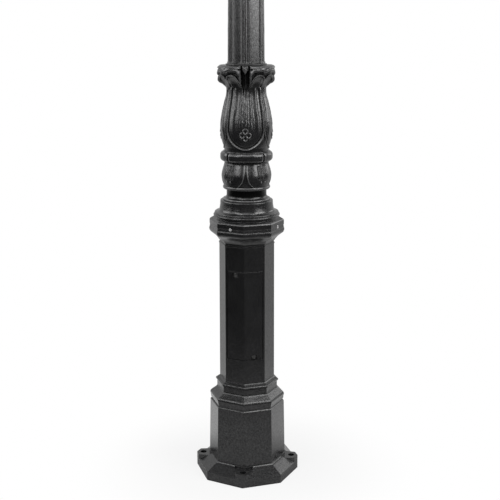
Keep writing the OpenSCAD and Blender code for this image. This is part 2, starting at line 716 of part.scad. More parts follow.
module fluted_shaft() {
    color("#1b1b1c") difference() {
        union() {
            translate([0, 0, lip_z + flute_start])
                linear_extrude(shaft_len - flute_start, scale = shaft_top_r / shaft_foot_r)
                    polygon(shaft_outline);
            turned(concat([[0, socket_z], [shaft_foot_r, socket_z], [shaft_foot_r, lip_z],
                           [shaft_ring_r, lip_z]],
                          arc([shaft_ring_r, lip_z + shaft_ring_h], shaft_ring_h - 3, 270, 190, 4),
                          [[0, lip_z + shaft_ring_h]]));
        }
        translate([0, 0, socket_z - 0.01])
            cylinder(r1 = shaft_bore_foot_r, r2 = shaft_bore_top_r, h = shaft_top_z - socket_z + 0.02,
                     $fn = round_fn);
        head_screw_holes(head_screw_d / 2 + fit_gap);
    }
}

// Bore radius of the shaft at a height
function shaft_bore_r(z) =
    shaft_bore_foot_r + (shaft_bore_top_r - shaft_bore_foot_r) * (z - socket_z) / (shaft_top_z - socket_z);

foot_bush_h = 30;
guide_ring_h = 14;
guide_ring_drop = 6;

module shaft_foot_bush() {
    color("#77797c") translate([0, 0, socket_z])
        ring(shaft_bore_r(socket_z + foot_bush_h) - fit_gap, tube_d / 2 + fit_gap, foot_bush_h);
}

module shaft_guide_ring() {
    color("#77797c") translate([0, 0, tube_top - guide_ring_h - guide_ring_drop])
        ring(shaft_bore_r(tube_top - guide_ring_drop) - fit_gap, tube_d / 2 + fit_gap / 2, guide_ring_h);
}

// Shaft head

head_screw_d = 6;
head_screw_drop = 16;
head_collar_h = 14;
head_cone_h = 10;

module head_screw_holes(r) {
    for (i = [0 : 2]) rotate([0, 0, 120 * i + 30]) translate([0, 0, shaft_top_z - head_screw_drop])
        rotate([0, 90, 0]) cylinder(r = r, h = 2 * shaft_foot_r, $fn = 48);
}

module shaft_head() {
    plug_r = shaft_bore_top_r - fit_gap;
    bead = head_collar_h / 2 - 1;
    collar = shaft_top_r - 2;
    top_z = shaft_top_z + head_collar_h + head_cone_h;
    color("#1b1b1c") difference() {
        turned(concat(
            [[0, shaft_top_z - plug_len], [plug_r, shaft_top_z - plug_len], [plug_r, shaft_top_z],
             [collar + 1, shaft_top_z]],
            arc([collar, shaft_top_z + head_collar_h / 2], bead, -80, 80, 6),
            [[collar, shaft_top_z + head_collar_h], [spigot_d / 2 + 1, top_z],
             [spigot_d / 2, top_z], [spigot_d / 2, top_z + spigot_len - 2],
             [spigot_d / 2 - 2, top_z + spigot_len], [0, top_z + spigot_len]]));
        translate([0, 0, shaft_top_z - plug_len - cut_over])
            cylinder(r = head_bore_r, h = plug_len + top_z - shaft_top_z + spigot_len + 2 * cut_over,
                     $fn = round_fn);
        head_screw_holes(head_screw_d / 2 + turn_gap);
    }
}

module head_screws() {
    seat_r = shaft_top_r - flute_depth * 0.2;
    color("#2a2a2b") for (i = [0 : 2]) rotate([0, 0, 120 * i + 30])
        translate([seat_r + 0.7, 0, shaft_top_z - head_screw_drop]) rotate([0, 90, 0])
            socket_screw(head_screw_d, seat_r - head_bore_r - 0.5, head_screw_d * 0.8, head_screw_d * 0.5);
}

// Door

// A layer of the column's wall behind its front faces, from depth a to depth b below its surface
module front_layer(a, b, z0, z1) {
    octagonal([[column_r(z0, a), z0], [column_r(z1, a), z1], [column_r(z1, b), z1], [column_r(z0, b), z0]]);
}

module access_door() {
    color("#1b1b1c") difference() {
        union() {
            intersection() {
                front_layer(0, door_t, door_z, door_top);
                door_plan();
            }
            intersection() {
                for (at = [upper_screw, lower_screw])
                    forward(at[0], screw_face_y(at) + door_boss_back, at[1])
                        cylinder(r = door_boss_r, h = door_boss_back - 2.2, $fn = 48);
                door_plan();
            }
        }
        for (at = [upper_screw, lower_screw]) {
            forward(at[0], screw_face_y(at) + door_boss_back + cut_over, at[1])
                cylinder(r = door_screw_d / 2 + turn_gap, h = 20, $fn = 48);
            forward(at[0], screw_face_y(at) + screw_seat_y, at[1])
                cylinder(r = door_screw_head_r + bolt_gap, h = 20, $fn = 48);
        }
    }
}

module door_gasket() {
    color("#262626") difference() {
        intersection() {
            front_layer(door_t + 0.1, door_seat, door_z, door_top);
            door_plan();
        }
        block([-opening_w / 2, -2 * column_foot_r, opening_z],
              [opening_w, 2 * column_foot_r, opening_top - opening_z]);
        for (at = [upper_screw, lower_screw])
            forward(at[0], 0, at[1]) cylinder(r = door_boss_r + bolt_gap, h = 2 * column_foot_r, $fn = 48);
    }
}

module door_screw(at) {
    forward(at[0], screw_face_y(at) + screw_seat_y, at[1])
        socket_screw(door_screw_d, door_screw_len, door_screw_head_r, door_screw_head_h);
}

module door_screw_upper() color("#6d6f72") door_screw(upper_screw);

module door_screw_lower() color("#6d6f72") door_screw(lower_screw);

module door_screw_retainers() {
    color("#c0c2c5") for (at = [upper_screw, lower_screw])
        forward(at[0], screw_face_y(at) + door_boss_back + retainer_t, at[1])
            ring(retainer_r, door_screw_d / 2 + turn_gap, retainer_t);
}

// Fuse unit

// Depth of the inner back wall at a distance sideways from the middle, at the middle of the door
function back_wall_y(x) = column_r(door_z + door_h / 2, column_wall) - abs(x) * tan(half_face);

tray_y = 41.5;
tray_wall_y = back_wall_y(0) + 2;
cutout_y = tray_y - cutout_d;
cutout_z = (opening_z + opening_top - cutout_h) / 2 + 3;
cutout_top = cutout_z + cutout_h;
chamber_h = 50;
shell_t = 3;
cover_d = 9;
fuse_z = cutout_top - 32;
fuse_y = cutout_y + 9;
socket_w = 28;
socket_h = 46;
socket_d = 22;
contact_w = 6;
contact_t = 1;
carrier_front = 19;
cover_screw_d = 4;
cover_screw_z = cutout_z + chamber_h + 1.5;
cover_seat_h = 3;
terminal_count = 3;
terminal_pitch = 15;
terminal_w = 10;
terminal_h = 26;
terminal_d = 14;
earth_d = 8;
earth_boss_r = 7;
earth_x = -tray_w / 2 - earth_boss_r - 1;
earth_z = opening_z + 16;
earth_wall_y = back_wall_y(earth_x) + 2;
earth_y = earth_wall_y - 14;
gland_len = 16;
gland_nut_t = 4;
gland_hole_r = gland_r * 0.8;
gland_thread = shell_t + gland_nut_t + 1;
gland_y = cutout_y + cutout_d / 2;
lower_glands = [-13.5, 13.5];
upper_gland = 13.5;
upper_gland_y = gland_y + 6;
upper_gland_h = 12;
upper_gland_bore_r = 3;

module gear_tray() {
    color("#b4b7ba") difference() {
        block([-tray_w / 2, tray_y, tray_screw_z[0] - 9],
              [tray_w, tray_t, tray_screw_z[1] - tray_screw_z[0] + 18]);
        for (z = tray_screw_z) forward(0, tray_y + tray_t + cut_over, z)
            cylinder(r = tray_screw_d / 2 + fit_gap, h = tray_t + 2 * cut_over, $fn = 48);
        for (x = cutout_screw_x) for (z = cutout_screw_z) forward(x, tray_y + tray_t + cut_over, z)
            cylinder(r = cutout_screw_d / 2 + turn_gap, h = tray_t + 2 * cut_over, $fn = 48);
    }
}

module tray_screws() {
    color("#c4c7ca") for (z = tray_screw_z) forward(0, tray_y, z)
        socket_screw(tray_screw_d, tray_t + 10, tray_screw_d * 0.85, tray_screw_d * 0.6);
}

cutout_screw_d = 4;
cutout_screw_sink = 4;
cutout_screw_x = [-cutout_w / 2 + 6, cutout_w / 2 - 6];
cutout_screw_z = [cutout_z + chamber_h + 7, cutout_top - 7];

module cutout_base() {
    color("#3a3b3d") difference() {
        block([-cutout_w / 2, cutout_y, cutout_z], [cutout_w, cutout_d, cutout_h]);
        // Terminal chamber, fuse socket, screw holes and cable ways
        block([-cutout_w / 2 + shell_t, cutout_y - cut_over, cutout_z + shell_t],
              [cutout_w - 2 * shell_t, cutout_d - shell_t + cut_over, chamber_h - 2 * shell_t]);
        block([-socket_w / 2, cutout_y - cut_over, fuse_z - socket_h / 2],
              [socket_w, socket_d + cut_over, socket_h]);
        for (x = cutout_screw_x) for (z = cutout_screw_z) {
            forward(x, tray_y + cut_over, z)
                cylinder(r = cutout_screw_d / 2 + fit_gap, h = cutout_d + 2 * cut_over, $fn = 48);
            forward(x, cutout_y + cutout_screw_sink, z)
                cylinder(r = cutout_screw_d + fit_gap, h = cutout_screw_sink + cut_over, $fn = 48);
        }
        for (x = lower_glands) translate([x, gland_y, cutout_z - cut_over])
            cylinder(r = gland_hole_r + fit_gap, h = shell_t + 2 * cut_over, $fn = 48);
        translate([upper_gland, upper_gland_y, cutout_top - upper_gland_h])
            cylinder(r = upper_gland_bore_r, h = upper_gland_h + cut_over, $fn = 32);
        // Thread for the cover's screw
        forward(0, cutout_y + 12, cover_screw_z) cylinder(r = cover_screw_d / 2 + turn_gap, h = 13, $fn = 32);
    }
}

module cutout_screws() {
    color("#c4c7ca") for (x = cutout_screw_x) for (z = cutout_screw_z)
        forward(x, cutout_y + cutout_screw_sink, z)
            socket_screw(cutout_screw_d, cutout_d - cutout_screw_sink + tray_t, cutout_screw_d * 0.9,
                         cutout_screw_d * 0.6);
}

module terminal_cover() {
    front = cutout_y - cover_d - 0.1;
    color("#55575a") difference() {
        block([-cutout_w / 2, front, cutout_z], [cutout_w, cover_d, chamber_h + 6]);
        block([-cutout_w / 2 + shell_t, front + shell_t, cutout_z + shell_t],
              [cutout_w - 2 * shell_t, cover_d, chamber_h - 2 * shell_t]);
        forward(0, cutout_y + cut_over, cover_screw_z)
            cylinder(r = cover_screw_d / 2 + turn_gap, h = cover_d + 2 * cut_over, $fn = 32);
        forward(0, cutout_y - cover_d + cover_seat_h, cover_screw_z)
            cylinder(r = cover_screw_d * 0.9 + fit_gap, h = cover_d, $fn = 32);
    }
}

module terminal_cover_screw() {
    color("#c4c7ca") forward(0, cutout_y - cover_d + cover_seat_h, cover_screw_z)
        socket_screw(cover_screw_d, cover_d + 5, cover_screw_d * 0.9, cover_screw_d * 0.6);
}

module fuse_carrier() {
    front = cutout_y - carrier_front;
    half = socket_w / 2 - 0.5;
    groove = fuse_d / 2 + 0.15;
    color("#2c2d2f") difference() {
        union() {
            // Grip, body in the socket and the tongue that holds the fuse link
            block([-half, front + 9, fuse_z - socket_h / 2 + 0.5],
                  [2 * half, cutout_y - front - 9 + 2, socket_h - 1]);
            block([-6, front, fuse_z - 17], [12, 10, 34]);
            block([-half, cutout_y, fuse_z - fuse_len / 2 + contact_w + 3.5],
                  [2 * half, fuse_y - cutout_y + 2, fuse_len - 2 * contact_w - 7]);
        }
        translate([0, fuse_y, fuse_z - socket_h]) cylinder(r = groove, h = 2 * socket_h, $fn = 48);
        for (side = [-1, 1]) block([side * 9 - 3, front - cut_over, fuse_z - 12], [6, 8, 24]);
    }
}

module fuse_link() {
    color("#e4e1d6") translate([0, fuse_y, fuse_z - fuse_len / 2])
        cylinder(d = fuse_d, h = fuse_len, $fn = 48);
}

module fuse_contacts() {
    back = cutout_y + socket_d;
    prong = fuse_d / 2 + fit_gap;
    color("#c98a52") for (z = [fuse_z - fuse_len / 2 + 1, fuse_z + fuse_len / 2 - 1 - contact_w])
        difference() {
            block([-prong - contact_t, fuse_y - 3, z],
                  [2 * (prong + contact_t), back - fuse_y + 3, contact_w]);
            block([-prong, fuse_y - 3 - cut_over, z - cut_over],
                  [2 * prong, back - contact_t - fuse_y + 3 + cut_over, contact_w + 2 * cut_over]);
        }
}

// Place of terminal i: its middle in X
function terminal_x(i) = (i - (terminal_count - 1) / 2) * terminal_pitch;
terminal_z = cutout_z + 14;
terminal_y = cutout_y + cutout_d - shell_t - terminal_d;

module line_terminals() {
    color("#c7a24a") for (i = [0 : terminal_count - 1]) difference() {
        block([terminal_x(i) - terminal_w / 2, terminal_y, terminal_z], [terminal_w, terminal_d, terminal_h]);
        translate([terminal_x(i), terminal_y + terminal_d / 2, terminal_z - cut_over])
            cylinder(r = 3, h = terminal_h + 2 * cut_over, $fn = 32);
        for (z = [6, terminal_h - 6]) forward(terminal_x(i), terminal_y + terminal_d / 2, terminal_z + z)
            cylinder(r = 2 + turn_gap, h = terminal_d, $fn = 32);
    }
}

module terminal_screws() {
    color("#c4c7ca") for (i = [0 : terminal_count - 1]) for (z = [6, terminal_h - 6])
        forward(terminal_x(i), terminal_y - 0.4, terminal_z + z) socket_screw(4, 5, 3, 2);
}

// A compression gland along +Z, its thread below z = 0 and its dome above
module gland() {
    difference() {
        union() {
            translate([0, 0, -gland_thread]) cylinder(r = gland_hole_r, h = gland_thread, $fn = 48);
            cylinder(r = gland_r * 1.08, h = 5, $fn = 6);
            translate([0, 0, 5]) cylinder(r = gland_r * 0.92, h = gland_len - 8, $fn = 48);
            translate([0, 0, gland_len - 3])
                cylinder(r1 = gland_r * 0.92, r2 = gland_r * 0.7, h = 3, $fn = 48);
        }
        translate([0, 0, -gland_thread - cut_over])
            cylinder(r = gland_r * 0.5, h = gland_len + gland_thread + 2 * cut_over, $fn = 48);
    }
}

module cable_glands() {
    color("#303133") {
        for (x = lower_glands) translate([x, gland_y, cutout_z]) mirror([0, 0, 1]) gland();
        translate([upper_gland, upper_gland_y, cutout_top]) difference() {
            cylinder(r = 7.5, h = upper_gland_h, $fn = 48);
            translate([0, 0, -cut_over])
                cylinder(r = upper_gland_bore_r + bolt_gap, h = upper_gland_h + 2 * cut_over, $fn = 48);
        }
    }
}

module gland_nuts() {
    color("#303133") for (x = lower_glands) translate([x, gland_y, cutout_z + shell_t]) difference() {
        cylinder(r = gland_r * 1.08, h = gland_nut_t, $fn = 6);
        translate([0, 0, -cut_over])
            cylinder(r = gland_hole_r + turn_gap, h = gland_nut_t + 2 * cut_over, $fn = 48);
    }
}

earth_nut_t = 6.5;
earth_washer_t = 1.6;
earth_stud_len = 34;

module earth_stud() {
    color("#c79a4b") forward(earth_x, earth_y + 9, earth_z)
        cylinder(d = earth_d, h = earth_stud_len, $fn = 48);
}

module earth_washers() {
    color("#c4c7ca") for (y = [0, earth_washer_t + earth_nut_t]) forward(earth_x, earth_y - y, earth_z)
        ring(earth_d * 0.95, earth_d / 2 + fit_gap, earth_washer_t);
}

module earth_nuts() {
    color("#c79a4b") for (y = [earth_washer_t, 2 * earth_washer_t + earth_nut_t])
        forward(earth_x, earth_y - y, earth_z) difference() {
            cylinder(r = earth_d * 0.92, h = earth_nut_t, $fn = 6);
            translate([0, 0, -cut_over])
                cylinder(r = earth_d / 2 + turn_gap, h = earth_nut_t + 2 * cut_over, $fn = 48);
        }
}

base_casting();
column_casting();
capital_casting();
vase_casting();
fluted_shaft();
shaft_head();
head_screws();
centre_tube();
tube_foot_plate();
foot_plate_bolts();
shaft_foot_bush();
shaft_guide_ring();
joint_ring();
capital_set_screws();
plinth_bolts();
plinth_washers();
access_door();
door_gasket();
door_screw_upper();
door_screw_lower();
door_screw_retainers();
gear_tray();
tray_screws();
cutout_base();
cutout_screws();
terminal_cover();
terminal_cover_screw();
fuse_carrier();
fuse_link();
fuse_contacts();
line_terminals();
terminal_screws();
cable_glands();
gland_nuts();
earth_stud();
earth_nuts();
earth_washers();
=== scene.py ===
import json
import math

import bmesh
import bpy
import numpy as np
from mathutils import Matrix, Vector


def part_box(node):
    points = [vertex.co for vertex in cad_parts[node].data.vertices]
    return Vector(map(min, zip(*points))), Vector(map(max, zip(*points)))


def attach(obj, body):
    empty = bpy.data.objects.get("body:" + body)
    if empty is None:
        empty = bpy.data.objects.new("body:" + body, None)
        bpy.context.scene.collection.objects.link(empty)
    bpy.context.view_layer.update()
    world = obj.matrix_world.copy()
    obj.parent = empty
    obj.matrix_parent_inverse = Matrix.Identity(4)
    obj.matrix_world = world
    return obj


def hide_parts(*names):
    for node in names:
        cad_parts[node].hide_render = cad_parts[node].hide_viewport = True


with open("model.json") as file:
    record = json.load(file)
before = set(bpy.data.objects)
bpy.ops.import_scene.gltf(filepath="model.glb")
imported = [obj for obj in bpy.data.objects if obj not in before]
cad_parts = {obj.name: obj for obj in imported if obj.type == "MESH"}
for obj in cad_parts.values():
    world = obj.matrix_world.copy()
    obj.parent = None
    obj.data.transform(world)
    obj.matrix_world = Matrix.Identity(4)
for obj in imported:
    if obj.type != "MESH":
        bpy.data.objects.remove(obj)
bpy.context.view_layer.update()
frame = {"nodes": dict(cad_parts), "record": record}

# Garden lamp post: its looks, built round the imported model. Metres, +Z up, and the door faces -Y.
# Angles run round the post from its front corner, which faces -Y, towards +X.

MM = 0.001

# Heights of the vase's stages and of the shaft's top in millimetres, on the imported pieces
FOOT_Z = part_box("capital_casting")[1].z / MM
LOTUS_Z = FOOT_Z + 35
BAND_Z = LOTUS_Z + 56
TULIP_Z = BAND_Z + 30
LIP_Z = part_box("vase_casting")[1].z / MM
SHAFT_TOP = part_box("fluted_shaft")[1].z / MM

# Radii of the vase, in millimetres
NECK_R = 49
BEAD_R = 58
LOTUS_R = 60
BAND_R = 64
TULIP_R = 64
TULIP_NECK_R = 49.4
LIP_R = 71
VASE_BORE_R = 38
# Turn of the vase and the shaft against the octagon of the base, in degrees
CARVING_TURN = 2.8

# Shaft, in millimetres, and half a rib's width in degrees
SHAFT_FOOT_R = 46.8
SHAFT_TOP_R = 34
SHAFT_BORE_FOOT_R = 39
SHAFT_BORE_TOP_R = 28
SHAFT_SOCKET = 24
FLUTE_DEPTH = 2.4
RIB_COUNT = 6
RIB_HALF = 13
# How far a rib's face lies under the foot's radius, and how far it falls at its shoulders
RIB_SINK = 0.7
RIB_SHOULDER = 0.7

# Camera: where the photograph was taken from, in metres and degrees, and how it was held
CAMERA_AZIMUTH = 5.2
CAMERA_DISTANCE = 2.3945
CAMERA_HEIGHT = 1.1475
CAMERA_TILT = 13.3
CAMERA_ROLL = -0.13
CAMERA_LENS = 71.05
CAMERA_SHIFT = 0.0066


def around(radius, angle, z):
    """Point on a circle round the post's axis, the angle in degrees from the front corner."""
    turn = math.radians(angle - 90)
    return Vector((radius * math.cos(turn), radius * math.sin(turn), z))


def ease(start, end, x):
    """0 below start, 1 above end, and smooth between."""
    t = np.clip((x - start) / (end - start), 0.0, 1.0)
    return t * t * (3 - 2 * t)


def ridge(distance, width):
    """A rounded ridge, 1 on its line."""
    return np.exp(-(distance / width) ** 2)


def smooth_curve(points, x):
    """Smooth curve through (x, value) points."""
    places = np.array([p[0] for p in points], dtype=float)
    values = np.array([p[1] for p in points], dtype=float)
    x = np.clip(x, places[0], places[-1])
    i = np.clip(np.searchsorted(places, x, side="right") - 1, 0, len(points) - 2)
    before = values[np.maximum(i - 1, 0)]
    start = values[i]
    end = values[i + 1]
    after = values[np.minimum(i + 2, len(points) - 1)]
    t = (x - places[i]) / (places[i + 1] - places[i])
    bend = 2 * before - 5 * start + 4 * end - after + t * (3 * (start - end) + after - before)
    return start + 0.5 * t * (end - before + t * bend)


# Node trees

def product(tree, first, second):
    """The product of two sockets."""
    made = tree.nodes.new("ShaderNodeMath")
    made.operation = "MULTIPLY"
    tree.links.new(first, made.inputs[0])
    tree.links.new(second, made.inputs[1])
    return made.outputs[0]


def ranged(tree, source, reach, values, smooth=False):
    """A number that runs from one value to the other as the source runs over its reach."""
    made = tree.nodes.new("ShaderNodeMapRange")
    made.interpolation_type = "SMOOTHSTEP" if smooth else "LINEAR"
    for key, value in zip(("From Min", "From Max", "To Min", "To Max"), (*reach, *values)):
        set_socket(tree, made.inputs[key], value)
    tree.links.new(source, made.inputs["Value"])
    return made.outputs["Result"]


def either(tree, switch, off, on):
    """One number where the switch is 0 and another where it is 1, each a number or a socket."""
    made = tree.nodes.new("ShaderNodeMix")
    tree.links.new(switch, made.inputs[0])
    set_socket(tree, made.inputs[2], off)
    set_socket(tree, made.inputs[3], on)
    return made.outputs[0]


def set_socket(tree, socket, value):
    """Gives an input socket a number, or links another socket to it."""
    if isinstance(value, (int, float)):
        socket.default_value = value
    else:
        tree.links.new(value, socket)


# Materials

class Finish:
    """Builds a node material on one Principled shader, and keeps the node calls short."""

    def __init__(self, name, metallic=0.0):
        self.material = bpy.data.materials.new(name)
        self.material.use_nodes = True
        self.tree = self.material.node_tree
        self.shader = self.tree.nodes["Principled BSDF"]
        self.shader.inputs["Metallic"].default_value = metallic
        self.place = self.tree.nodes.new("ShaderNodeTexCoord").outputs["Object"]

    def node(self, kind, **values):
        """A new node, with values for its inputs or its own settings."""
        made = self.tree.nodes.new(kind)
        for key, value in values.items():
            if key in made.inputs:
                made.inputs[key].default_value = value
            else:
                setattr(made, key, value)
        return made

    def link(self, source, target):
        self.tree.links.new(source, target)

    def noise(self, scale, detail=3.0, rough=0.55):
        """Noise of so many lumps to the metre."""
        made = self.node("ShaderNodeTexNoise", Scale=scale, Detail=detail, Roughness=rough)
        self.link(self.place, made.inputs["Vector"])
        return made.outputs["Fac"]

    def spread(self, source, low, high, from_low=0.3, from_high=0.7):
        """A number that runs from low to high as the source does."""
        return ranged(self.tree, source, (from_low, from_high), (low, high))

    def blend(self, factor, first, second):
        """Mix of two colours, each a tuple or a socket."""
        made = self.node("ShaderNodeMix", data_type="RGBA")
        sockets = [s for s in made.inputs if s.type == "RGBA"]
        for socket, value in zip(sockets, (first, second)):
            if isinstance(value, tuple):
                socket.default_value = (*value, 1.0)
            else:
                self.link(value, socket)
        self.link(factor, made.inputs[0])
        return next(s for s in made.outputs if s.type == "RGBA")

    def colour(self, value):
        self.link(value, self.shader.inputs["Base Color"])

    def roughness(self, source, low, high):
        self.link(self.spread(source, low, high), self.shader.inputs["Roughness"])

    def bumps(self, *layers):
        """Bump layers of (source, height in metres, strength)."""
        normal = None
        for source, height, strength in layers:
            made = self.node("ShaderNodeBump", Distance=height, Strength=strength)
            self.link(source, made.inputs["Height"])
            if normal:
                self.link(normal, made.inputs["Normal"])
            normal = made.outputs["Normal"]
        self.link(normal, self.shader.inputs["Normal"])


def black_cast():
    """Satin black paint on a casting: fine orange peel over the casting's own unevenness.

    Ridges are painted lighter, a painted highlight, and hollows darker, a painted shade; hollows also
    shine less.
    """
    dark_paint = (0.006, 0.006, 0.0065)
    light_paint = (0.010, 0.010, 0.0105)
    # Painted highlight: a light colour on the ridges, standing in for the light their crests catch.
    # Painted shade: a near-black colour in the hollows and recesses.
    painted_highlight_on_ridges = (0.075, 0.075, 0.076)
    painted_shade_in_hollows = (0.003, 0.003, 0.003)
    f = Finish("black_cast")
    grain = f.noise(900, 2.0)
    peel = f.noise(330, 3.0, 0.6)
    cloud = f.noise(28, 4.0)
    mottle = f.noise(250, 3.0, 0.8)
    relief = f.node("ShaderNodeAttribute", attribute_name="relief").outputs["Fac"]
    base = f.blend(f.spread(cloud, 0.0, 1.0), dark_paint, light_paint)
    # The relief attribute leads the painted highlight on the ridges and the painted shade in the hollows.
    base = f.blend(f.spread(relief, 0.0, 1.0, 0.1, 0.9), base, painted_highlight_on_ridges)
    f.colour(f.blend(f.spread(relief, 1.0, 0.0, -0.8, -0.1), base, painted_shade_in_hollows))
    f.roughness(peel, 0.17, 0.27)
    shine = product(f.tree, f.spread(relief, 0.15, 1.0, -1.2, -0.1), f.spread(mottle, 0.35, 1.4))
    f.link(shine, f.shader.inputs["Specular IOR Level"])
    f.bumps((cloud, 0.0010, 0.30), (peel, 0.0006, 0.32), (grain, 0.0002, 0.5))
    return f.material


def plain_metal(name, dark, light, rough, grain_scale=1200, bump=0.00005):
    """Bare or plated metal, cloudy in colour, with fine tool marks."""
    f = Finish(name, metallic=1.0)
    cloud = f.noise(90, 4.0)
    grain = f.noise(grain_scale, 3.0, 0.6)
    f.colour(f.blend(f.spread(cloud, 0.0, 1.0), dark, light))
    f.roughness(grain, rough - 0.07, rough + 0.09)
    f.bumps((grain, bump, 0.6))
    return f.material


def galvanised():
    """Dull zinc with its spangle."""
    f = Finish("galvanised_steel", metallic=1.0)
    spangle = f.node("ShaderNodeTexVoronoi", Scale=160.0)
    f.link(f.place, spangle.inputs["Vector"])
    shade = f.node("ShaderNodeSeparateColor")
    f.link(spangle.outputs["Color"], shade.inputs["Color"])
    cloud = f.noise(60, 4.0)
    flake = f.spread(shade.outputs["Red"], 0.0, 1.0, 0.0, 1.0)
    base = f.blend(flake, (0.38, 0.40, 0.42), (0.55, 0.57, 0.58))
    f.colour(f.blend(f.spread(cloud, 0.0, 0.4), base, (0.60, 0.61, 0.60)))
    f.roughness(cloud, 0.38, 0.56)
    f.bumps((spangle.outputs["Distance"], 0.0001, 0.2), (f.noise(1500), 0.00004, 0.5))
    return f.material


def moulding(name, dark, light, rough, grain=0.00008):
    """Moulded plastic or rubber with a fine matt grain."""
    f = Finish(name)
    cloud = f.noise(70, 3.0)
    pebble = f.noise(1400, 2.0)
    f.colour(f.blend(f.spread(cloud, 0.0, 1.0), dark, light))
    f.roughness(pebble, rough - 0.06, rough + 0.08)
    f.bumps((pebble, grain, 0.6))
    return f.material


MATERIALS = {
    "black_cast": black_cast(),
    "black_screw": plain_metal("black_screw", (0.020, 0.020, 0.021), (0.045, 0.045, 0.047), 0.42),
    "galvanised_steel": galvanised(),
    "zinc_steel": plain_metal("zinc_steel", (0.50, 0.51, 0.53), (0.66, 0.66, 0.65), 0.30),
    "bright_screw": plain_metal("bright_screw", (0.80, 0.80, 0.80), (0.95, 0.95, 0.94), 0.42),
    "door_screw_steel": plain_metal("door_screw_steel", (0.16, 0.16, 0.16), (0.26, 0.26, 0.26), 0.26),
    "cast_aluminium": plain_metal(
        "cast_aluminium", (0.42, 0.43, 0.44), (0.56, 0.57, 0.58), 0.52, 420, 0.0003),
    "black_rubber": moulding("black_rubber", (0.014, 0.014, 0.014), (0.028, 0.028, 0.028), 0.72),
    "dark_moulding": moulding("dark_moulding", (0.030, 0.030, 0.033), (0.048, 0.048, 0.052), 0.42),
    "grey_moulding": moulding("grey_moulding", (0.24, 0.25, 0.26), (0.31, 0.32, 0.33), 0.45),
    "fuse_body": moulding("fuse_body", (0.76, 0.74, 0.69), (0.86, 0.84, 0.79), 0.20, 0.00003),
    "copper_alloy": plain_metal("copper_alloy", (0.62, 0.34, 0.20), (0.78, 0.50, 0.33), 0.28),
    "terminal_brass": plain_metal("terminal_brass", (0.62, 0.46, 0.20), (0.78, 0.62, 0.32), 0.26),
    "gland_nylon": moulding("gland_nylon", (0.022, 0.022, 0.024), (0.040, 0.040, 0.042), 0.50),
}
SLOT_OF = {row["node"]: row["material_slot"] for row in frame["record"]["subparts"]}


def finish_nodes():
    """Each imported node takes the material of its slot."""
    for name, node in frame["nodes"].items():
        node.data.materials.clear()
        node.data.materials.append(MATERIALS[SLOT_OF[name]])


# Edges: points this near are joined, faces that turn less than this are one flat face, and edges that turn
# more than this are sharp
WELD_GAP = 0.02 * MM
FLAT_TURN = 0.4
SHARP_TURN = 24
CASTING_EDGE = 1.1 * MM
DOOR_EDGE = 1.2 * MM
SCREW_EDGE = 0.9 * MM


def round_edges(name, width, chamfer=False):
    """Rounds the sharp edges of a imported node, or cuts them flat, without touching its mesh."""
    node = frame["nodes"][name]
    weld = node.modifiers.new("weld", "WELD")
    weld.merge_threshold = WELD_GAP
    flat = node.modifiers.new("flat_faces", "DECIMATE")
    flat.decimate_type = "DISSOLVE"
    flat.angle_limit = math.radians(FLAT_TURN)
    bevel = node.modifiers.new("rounded_edges", "BEVEL")
    bevel.width = width
    bevel.segments = 1 if chamfer else 3
    bevel.limit_method = "ANGLE"
    bevel.angle_limit = math.radians(SHARP_TURN)
    bevel.harden_normals = True
    bevel.use_clamp_overlap = not chamfer
    bevel.loop_slide = not chamfer


finish_nodes()
for casting in ("base_casting", "column_casting", "capital_casting"):
    round_edges(casting, CASTING_EDGE)
round_edges("access_door", DOOR_EDGE, chamfer=True)
for screw in ("capital_set_screws", "door_screw_upper", "door_screw_lower"):
    round_edges(screw, SCREW_EDGE)


# Carved pieces. A surface is a grid of rows by columns: a height and a radius for each angle.

def fold(angle):
    """Angle from the nearest petal's middle, -45 to 45 degrees."""
    return (angle + 45) % 90 - 45


def smeared_round(values, reach):
    """Running mean round the axis, over a reach of columns each way."""
    return sum(np.roll(values, shift, axis=1) for shift in range(-reach, reach + 1)) / (2 * reach + 1)


def smeared_up(values, reach):
    """Running mean up the axis, over a reach of rows each way."""
    held = np.pad(values, ((reach, reach), (0, 0)), mode="edge")
    return sum(held[row:row + len(values)] for row in range(2 * reach + 1)) / (2 * reach + 1)


def relief_of(radii):
    """How far each point stands proud of the surface round it, or lies in a hollow, in millimetres."""
    fine = radii - smeared_round(smeared_round(radii, 5), 5)
    wide = radii - smeared_round(smeared_round(radii, 24), 24)
    tall = radii - smeared_up(smeared_up(radii, 5), 5)
    # Wide hollows count a little too, so that broad recesses also get the painted shade.
    return fine + 0.8 * tall + 0.12 * np.minimum(wide, 0)


def grid_piece(name, radii, heights, plain_rows=1):
    """A closed ring whose section is each column of the grid, its last row joined to its first.

    The first rows and the last one are plain, and the relief is that of the rows between.
    """
    rows, columns = radii.shape
    turns = np.radians(np.arange(columns) * 360 / columns - 90)
    points = np.empty((rows, columns, 3))
    points[:, :, 0] = radii * np.cos(turns)
    points[:, :, 1] = radii * np.sin(turns)
    points[:, :, 2] = heights
    index = np.arange(rows * columns).reshape(rows, columns)
    right = np.roll(index, -1, axis=1)
    quads = np.stack([index, right, np.roll(right, -1, axis=0), np.roll(index, -1, axis=0)], axis=-1)
    mesh = bpy.data.meshes.new(name)
    mesh.from_pydata((points.reshape(-1, 3) * MM).tolist(), [], quads.reshape(-1, 4).tolist())
    proud = np.zeros(radii.shape, dtype=np.float32)
    proud[plain_rows:-1] = relief_of(radii[plain_rows:-1])
    # This relief drives black_cast's painted highlight on ridges and its painted shade in hollows.
    mesh.attributes.new("relief", "FLOAT", "POINT").data.foreach_set("value", proud.reshape(-1))
    mesh.shade_smooth()
    mesh.set_sharp_from_angle(angle=math.radians(50))
    piece = bpy.data.objects.new(name, mesh)
    bpy.context.scene.collection.objects.link(piece)
    mesh.materials.append(MATERIALS["black_cast"])
    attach(piece, "post")
    return piece


